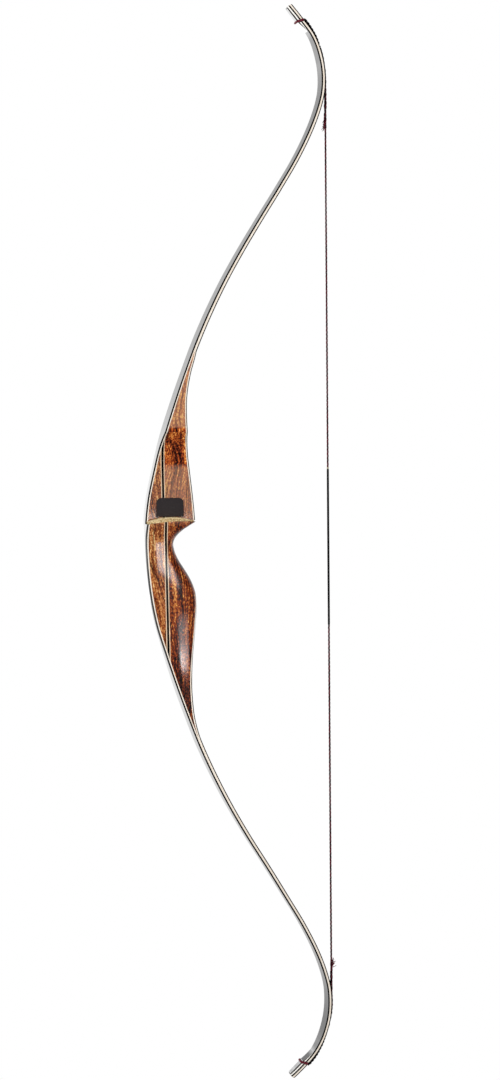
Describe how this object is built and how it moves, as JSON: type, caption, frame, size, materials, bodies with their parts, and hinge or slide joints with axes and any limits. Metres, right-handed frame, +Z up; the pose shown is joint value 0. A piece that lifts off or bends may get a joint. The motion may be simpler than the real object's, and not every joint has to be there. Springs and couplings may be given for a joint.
{
  "type": "recurve bow",
  "caption": "Braced one-piece recurve bow with a laminated hardwood riser, sight window, curved glass-faced limbs and a twisted bowstring that draws.",
  "frame": {"origin": "deepest point of the grip's throat, on the bow's centre plane", "axes": "+Z up the bow to the upper limb, +X from the riser to the string and the archer, -Y the side of the sight window and arrow shelf"},
  "size_m": [0.2481, 0.0447, 1.3942],
  "materials": {
    "riser_wood": "gloss lacquered figured hardwood",
    "core_maple": "gloss lacquered pale maple",
    "back_fibreglass": "gloss black fibreglass laminate",
    "belly_fibreglass": "gloss dark fibreglass laminate",
    "black_laminate": "gloss black laminate",
    "overlay_light": "gloss off-white laminate",
    "rug": "matted pale pile",
    "plate": "smooth black leather",
    "bowstring": "waxed two-colour twisted strands",
    "serving": "tight thread winding"
  },
  "bodies": {
    "riser": {"riser_main_block": "riser_wood", "riser_front_block": "riser_wood", "riser_stripe_dark": "black_laminate", "riser_stripe_light_front": "core_maple", "riser_stripe_light_rear": "core_maple", "riser_back_core": "core_maple", "riser_back_glass": "back_fibreglass", "riser_upper_belly_core": "core_maple", "riser_upper_belly_glass": "belly_fibreglass", "riser_lower_belly_core": "core_maple", "riser_lower_belly_glass": "belly_fibreglass", "shelf_rug": "rug", "side_plate": "plate"},
    "upper_limb": {"upper_limb_back_glass": "back_fibreglass", "upper_limb_back_core": "core_maple", "upper_limb_belly_core": "core_maple", "upper_limb_belly_glass": "belly_fibreglass"},
    "upper_recurve": {"upper_recurve_back_glass": "back_fibreglass", "upper_recurve_back_core": "core_maple", "upper_recurve_belly_core": "core_maple", "upper_recurve_belly_glass": "belly_fibreglass", "upper_tip_overlay_light": "overlay_light", "upper_tip_overlay_dark": "black_laminate"},
    "upper_loop": {"upper_string_loop": "bowstring", "upper_string_splice": "bowstring"},
    "upper_string": {"upper_string": "bowstring", "upper_serving": "serving", "upper_tag_ends": "bowstring"},
    "lower_limb": {"lower_limb_back_glass": "back_fibreglass", "lower_limb_back_core": "core_maple", "lower_limb_belly_core": "core_maple", "lower_limb_belly_glass": "belly_fibreglass"},
    "lower_recurve": {"lower_recurve_back_glass": "back_fibreglass", "lower_recurve_back_core": "core_maple", "lower_recurve_belly_core": "core_maple", "lower_recurve_belly_glass": "belly_fibreglass", "lower_tip_overlay_light": "overlay_light", "lower_tip_overlay_dark": "black_laminate"},
    "lower_loop": {"lower_string_loop": "bowstring", "lower_string_splice": "bowstring"},
    "lower_string": {"lower_string": "bowstring", "lower_serving": "serving", "lower_tag_ends": "bowstring"}
  },
  "joints": [
    {"name": "upper_limb_flex", "type": "hinge", "parent": "riser", "child": "upper_limb", "pos_m": [0.03141, 0, 0.26089], "axis": [0, 1, 0], "range_deg": [0, 16.61], "stiffness_Nm_per_rad": 110, "springref_deg": -1.72},
    {"name": "upper_recurve_flex", "type": "hinge", "parent": "upper_limb", "child": "upper_recurve", "pos_m": [0.12787, 0, 0.4385], "axis": [0, 1, 0], "range_deg": [0, 14.2], "stiffness_Nm_per_rad": 60, "springref_deg": -1.72},
    {"name": "upper_loop_turn", "type": "hinge", "parent": "upper_recurve", "child": "upper_loop", "pos_m": [0.17014, 0, 0.67207], "axis": [0, -1, 0], "range_deg": [0, 39.19], "deforming": ["upper_string_loop", "upper_string_splice"]},
    {"name": "upper_string_turn", "type": "hinge", "parent": "upper_loop", "child": "upper_string", "pos_m": [0.20283, 0, 0.59698], "axis": [0, -1, 0], "range_deg": [0, 23.51], "deforming": ["upper_string", "upper_serving", "upper_tag_ends"]},
    {"name": "lower_limb_flex", "type": "hinge", "parent": "riser", "child": "lower_limb", "pos_m": [0.03321, 0, -0.26087], "axis": [0, -1, 0], "range_deg": [0, 15.23], "stiffness_Nm_per_rad": 110, "springref_deg": -1.72},
    {"name": "lower_recurve_flex", "type": "hinge", "parent": "lower_limb", "child": "lower_recurve", "pos_m": [0.12711, 0, -0.43256], "axis": [0, -1, 0], "range_deg": [0, 12.98], "stiffness_Nm_per_rad": 60, "springref_deg": -1.72},
    {"name": "lower_loop_turn", "type": "hinge", "parent": "lower_recurve", "child": "lower_loop", "pos_m": [0.16731, 0, -0.68016], "axis": [0, 1, 0], "range_deg": [0, 30.67], "deforming": ["lower_string_loop", "lower_string_splice"]},
    {"name": "lower_string_turn", "type": "hinge", "parent": "lower_loop", "child": "lower_string", "pos_m": [0.20446, 0, -0.60318], "axis": [0, 1, 0], "range_deg": [0, 25.9], "deforming": ["lower_string", "lower_serving", "lower_tag_ends"]}
  ],
  "couplings": [
    {"joint": "upper_recurve_flex", "follows": "upper_limb_flex", "ratio": 0.8519},
    {"joint": "lower_limb_flex", "follows": "upper_limb_flex", "ratio": 0.9138},
    {"joint": "lower_recurve_flex", "follows": "upper_limb_flex", "ratio": 0.7785},
    {"joint": "upper_loop_turn", "follows": "upper_limb_flex", "ratio": 2.3564},
    {"joint": "upper_string_turn", "follows": "upper_limb_flex", "ratio": 1.4123},
    {"joint": "lower_loop_turn", "follows": "upper_limb_flex", "ratio": 1.8437},
    {"joint": "lower_string_turn", "follows": "upper_limb_flex", "ratio": 1.556}
  ]
}
